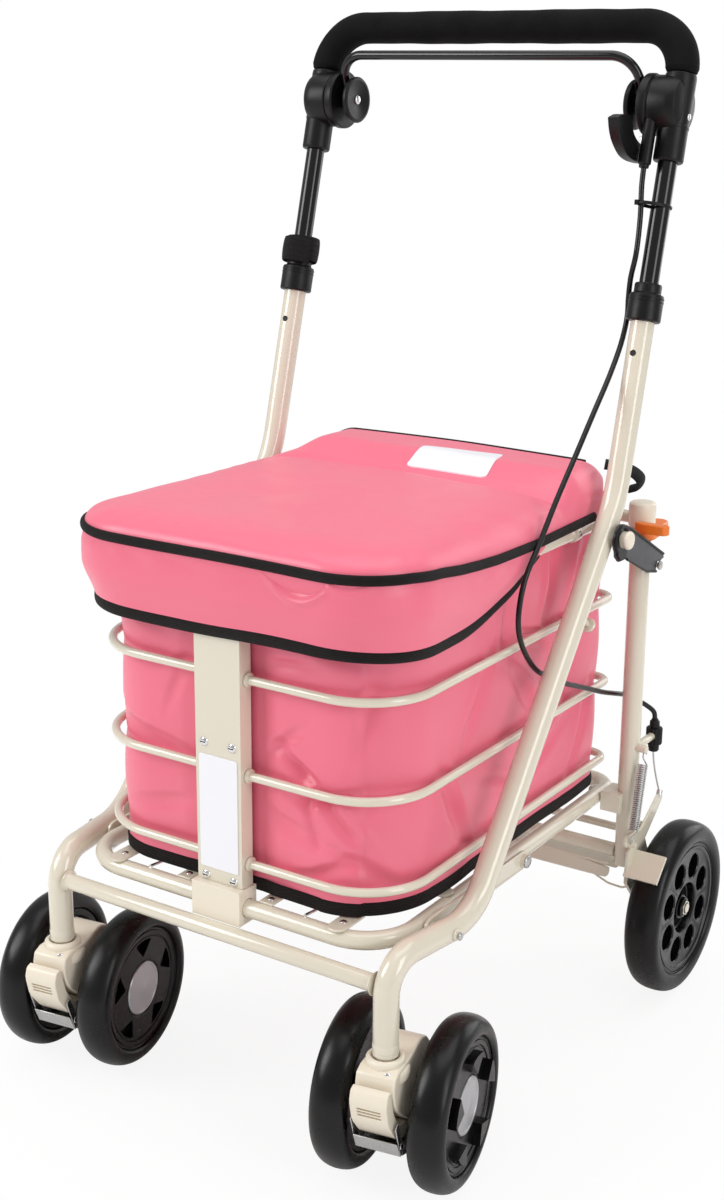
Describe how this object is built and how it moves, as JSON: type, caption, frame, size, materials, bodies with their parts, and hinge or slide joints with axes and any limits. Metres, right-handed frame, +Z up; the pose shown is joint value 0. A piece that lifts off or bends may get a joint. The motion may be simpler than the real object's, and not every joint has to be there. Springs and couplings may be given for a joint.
{
  "type": "shopping rollator",
  "caption": "Folding shopping walker: tube frame on twin casters and braked rear wheels, cloth bag in wire rings under a padded seat lid, telescopic U handle with squeeze brake bar",
  "frame": {"origin": "on the floor under the middle of the bounding box", "axes": "+Z up, the front of the walker looks along -Y, +X is the side of the brake cable; metres"},
  "size_m": [0.5026, 0.5972, 0.9734],
  "materials": {
    "beige_paint": "glossy beige enamel",
    "cream_plastic": "moulded cream plastic",
    "black_paint": "glossy black enamel",
    "black_plastic": "moulded black plastic, fine grain",
    "foam": "closed-cell foam, matte",
    "tread": "moulded black tread",
    "bag_cloth": "pink coated cloth with black woven binding",
    "lid_cloth": "pink padded coated cloth",
    "bright_steel": "zinc plated steel",
    "dark_plastic": "dark grey plate with a black rim",
    "orange_plastic": "moulded orange plastic"
  },
  "bodies": {
    "main_frame": {"side_tube_left": "beige_paint", "side_tube_right": "beige_paint", "front_cross_tube": "beige_paint", "pivot_bar_left": "beige_paint", "pivot_bar_right": "beige_paint", "latch_knob_left": "cream_plastic", "latch_knob_right": "cream_plastic", "height_collar_left": "black_plastic", "height_collar_right": "black_plastic", "brake_cable": "black_plastic"},
    "basket_ring": {"lower_ring": "beige_paint", "basket_floor": "beige_paint"},
    "front_support": {"front_bracket": "beige_paint", "bracket_shoe": "cream_plastic"},
    "upper_wire_ring": {"wire_upper": "beige_paint"},
    "middle_wire_ring": {"wire_middle": "beige_paint"},
    "lower_wire_ring": {"wire_lower": "beige_paint"},
    "rear_leg": {"rear_post_left": "beige_paint", "rear_post_right": "beige_paint", "post_cap_left": "cream_plastic", "post_cap_right": "cream_plastic", "axle_plate_left": "bright_steel", "axle_plate_right": "bright_steel", "rear_channel": "beige_paint", "rear_cross_tube": "beige_paint", "rear_bracket": "beige_paint", "cable_adjuster": "black_plastic", "brake_spring": "bright_steel", "brake_inner_wire": "bright_steel"},
    "seat_support": {"seat_frame": "beige_paint", "bag": "bag_cloth"},
    "seat_lid": {"seat_cushion": "lid_cloth", "lid_skirt": "lid_cloth"},
    "latch_left": {"latch_lever_left": "dark_plastic"},
    "latch_right": {"latch_lever_right": "dark_plastic"},
    "catch_left": {"safety_catch_left": "orange_plastic"},
    "catch_right": {"safety_catch_right": "orange_plastic"},
    "handle": {"handle_tube": "black_paint", "foam_grip": "foam", "hinge_housing_left": "black_plastic", "hinge_housing_right": "black_plastic"},
    "squeeze_bar": {"brake_bar": "black_paint"},
    "shoe_beam": {"brake_beam": "bright_steel"},
    "parking_lever": {"park_lever": "black_plastic"},
    "caster_left": {"caster_head_left": "cream_plastic"},
    "pedal_left": {"caster_pedal_left": "cream_plastic"},
    "wheel_left_inner": {"front_wheel_left_inner": "tread"},
    "wheel_left_outer": {"front_wheel_left_outer": "tread"},
    "rear_wheel_left": {"rear_tyre_left": "tread", "rear_rim_left": "black_plastic"},
    "caster_right": {"caster_head_right": "cream_plastic"},
    "pedal_right": {"caster_pedal_right": "cream_plastic"},
    "wheel_right_inner": {"front_wheel_right_inner": "tread"},
    "wheel_right_outer": {"front_wheel_right_outer": "tread"},
    "rear_wheel_right": {"rear_tyre_right": "tread", "rear_rim_right": "black_plastic"}
  },
  "joints": [
    {"name": "basket_fold", "type": "hinge", "parent": "main_frame", "child": "basket_ring", "pos_m": [0.0033, -0.02795, 0.218], "axis": [-1, 0, 0], "range_deg": [0, 48], "deforming": ["bag", "brake_cable"]},
    {"name": "rear_leg_fold", "type": "hinge", "parent": "basket_ring", "child": "rear_leg", "pos_m": [0.0033, 0.15805, 0.218], "axis": [-1, 0, 0], "range_deg": [-50, 2]},
    {"name": "seat_fold", "type": "hinge", "parent": "rear_leg", "child": "seat_support", "pos_m": [0.0033, 0.15805, 0.507], "axis": [-1, 0, 0], "range_deg": [-2, 50]},
    {"name": "front_support_fold", "type": "hinge", "parent": "basket_ring", "child": "front_support", "pos_m": [0.0033, -0.24395, 0.218], "axis": [-1, 0, 0], "range_deg": [-50, 2]},
    {"name": "upper_wire_fold", "type": "hinge", "parent": "front_support", "child": "upper_wire_ring", "pos_m": [0.0033, -0.23895, 0.424], "axis": [-1, 0, 0], "range_deg": [-2, 50]},
    {"name": "middle_wire_fold", "type": "hinge", "parent": "front_support", "child": "middle_wire_ring", "pos_m": [0.0033, -0.23895, 0.338], "axis": [-1, 0, 0], "range_deg": [-2, 50]},
    {"name": "lower_wire_fold", "type": "hinge", "parent": "front_support", "child": "lower_wire_ring", "pos_m": [0.0033, -0.23895, 0.257], "axis": [-1, 0, 0], "range_deg": [-2, 50]},
    {"name": "lid_hinge", "type": "hinge", "parent": "seat_support", "child": "seat_lid", "pos_m": [0.0033, 0.13605, 0.512], "axis": [-1, 0, 0], "range_deg": [0, 78]},
    {"name": "latch_left_turn", "type": "hinge", "parent": "main_frame", "child": "latch_left", "pos_m": [-0.2087, 0.07305, 0.507], "axis": [1, 0, 0], "range_deg": [0, 60]},
    {"name": "catch_left_turn", "type": "hinge", "parent": "rear_leg", "child": "catch_left", "pos_m": [-0.1927, 0.15505, 0.493], "axis": [0, 0, -1], "range_deg": [0, 60]},
    {"name": "latch_right_turn", "type": "hinge", "parent": "main_frame", "child": "latch_right", "pos_m": [0.2153, 0.07305, 0.507], "axis": [1, 0, 0], "range_deg": [0, 60]},
    {"name": "catch_right_turn", "type": "hinge", "parent": "rear_leg", "child": "catch_right", "pos_m": [0.1993, 0.15505, 0.493], "axis": [0, 0, 1], "range_deg": [0, 60]},
    {"name": "handle_height", "type": "slide", "parent": "main_frame", "child": "handle", "axis": [0, 0.2506, 0.9681], "range_m": [-0.065, 0.03], "deforming": ["brake_cable"]},
    {"name": "brake_squeeze", "type": "hinge", "parent": "handle", "child": "squeeze_bar", "pos_m": [0.0033, 0.18308, 0.888], "axis": [-1, 0, 0], "range_deg": [0, 18], "stiffness_Nm_per_rad": 6, "springref_deg": -8.59},
    {"name": "shoe_rock", "type": "hinge", "parent": "rear_leg", "child": "shoe_beam", "pos_m": [0.0033, 0.17005, 0.1786], "axis": [1, 0, 0], "range_deg": [-1, 8], "deforming": ["brake_spring", "brake_inner_wire"]},
    {"name": "park_lever_turn", "type": "hinge", "parent": "handle", "child": "parking_lever", "pos_m": [0.1723, 0.17221, 0.846], "axis": [1, 0, 0], "range_deg": [0, 35]},
    {"name": "caster_left_swivel", "type": "hinge", "parent": "main_frame", "child": "caster_left", "pos_m": [-0.1757, -0.25995, 0.14], "axis": [0, 0, 1], "continuous": true},
    {"name": "pedal_left_press", "type": "hinge", "parent": "caster_left", "child": "pedal_left", "pos_m": [-0.17598, -0.25797, 0.063], "axis": [0.9902, 0.1395, 0], "range_deg": [0, 12]},
    {"name": "wheel_left_inner_roll", "type": "hinge", "parent": "caster_left", "child": "wheel_left_inner", "pos_m": [-0.13865, -0.20827, 0.075], "axis": [0.9902, 0.1395, 0], "continuous": true},
    {"name": "wheel_left_outer_roll", "type": "hinge", "parent": "caster_left", "child": "wheel_left_outer", "pos_m": [-0.22559, -0.22053, 0.075], "axis": [0.9902, 0.1395, 0], "continuous": true},
    {"name": "rear_wheel_left_roll", "type": "hinge", "parent": "rear_leg", "child": "rear_wheel_left", "pos_m": [-0.2267, 0.21005, 0.089], "axis": [1, 0, 0], "continuous": true},
    {"name": "caster_right_swivel", "type": "hinge", "parent": "main_frame", "child": "caster_right", "pos_m": [0.1823, -0.25995, 0.14], "axis": [0, 0, 1], "continuous": true},
    {"name": "pedal_right_press", "type": "hinge", "parent": "caster_right", "child": "pedal_right", "pos_m": [0.18195, -0.25798, 0.063], "axis": [0.9847, 0.1741, 0], "range_deg": [0, 12]},
    {"name": "wheel_right_inner_roll", "type": "hinge", "parent": "caster_right", "child": "wheel_right_inner", "pos_m": [0.13106, -0.2223, 0.075], "axis": [0.9847, 0.1741, 0], "continuous": true},
    {"name": "wheel_right_outer_roll", "type": "hinge", "parent": "caster_right", "child": "wheel_right_outer", "pos_m": [0.21752, -0.20701, 0.075], "axis": [0.9847, 0.1741, 0], "continuous": true},
    {"name": "rear_wheel_right_roll", "type": "hinge", "parent": "rear_leg", "child": "rear_wheel_right", "pos_m": [0.2333, 0.21005, 0.089], "axis": [1, 0, 0], "continuous": true}
  ],
  "couplings": [
    {"joint": "rear_leg_fold", "follows": "basket_fold", "ratio": -1},
    {"joint": "seat_fold", "follows": "basket_fold", "ratio": 1},
    {"joint": "front_support_fold", "follows": "basket_fold", "ratio": -1},
    {"joint": "upper_wire_fold", "follows": "basket_fold", "ratio": 1},
    {"joint": "middle_wire_fold", "follows": "basket_fold", "ratio": 1},
    {"joint": "lower_wire_fold", "follows": "basket_fold", "ratio": 1},
    {"joint": "shoe_rock", "follows": "brake_squeeze", "ratio": 0.4167}
  ]
}
